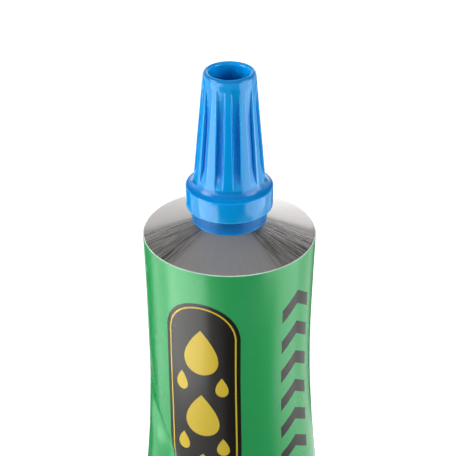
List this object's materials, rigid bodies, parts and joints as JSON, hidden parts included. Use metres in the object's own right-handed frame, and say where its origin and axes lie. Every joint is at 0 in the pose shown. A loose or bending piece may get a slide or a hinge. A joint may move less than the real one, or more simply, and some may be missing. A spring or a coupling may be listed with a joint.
{
  "type": "glue tube",
  "caption": "Collapsible aluminium glue tube, round at the shoulder and folded flat at the tail, with a fluted conical screw cap that has a piercing spike in its top.",
  "frame": {"origin": "middle of the lower edge of the folded tail, under the tube's axis", "axes": "+Z along the tube from the folded tail to the cap, X along the fold, front of the tube towards -Y"},
  "size_m": [0.0392, 0.0256, 0.122],
  "materials": {
    "lacquered_aluminium": "satin",
    "foil": "satin",
    "gel": "gloss",
    "latex": "matte",
    "liner_foam": "matte",
    "cap_plastic": "gloss"
  },
  "bodies": {
    "tube": {"tube_body": "lacquered_aluminium", "neck_membrane": "foil", "gel_fill": "gel", "end_seal": "latex"},
    "liner": {"cap_liner": "liner_foam"},
    "cap": {"screw_cap": "cap_plastic"}
  },
  "joints": [
    {"name": "cap_rise", "type": "slide", "parent": "tube", "child": "liner", "axis": [0, 0, 1], "range_m": [0, 0.00406]},
    {"name": "cap_turn", "type": "hinge", "parent": "liner", "child": "cap", "pos_m": [0, 0, 0.0995], "axis": [0, 0, 1], "range_deg": [0, 1170]}
  ],
  "couplings": [
    {"joint": "cap_turn", "follows": "cap_rise", "rad_per_m": 5026.5}
  ]
}
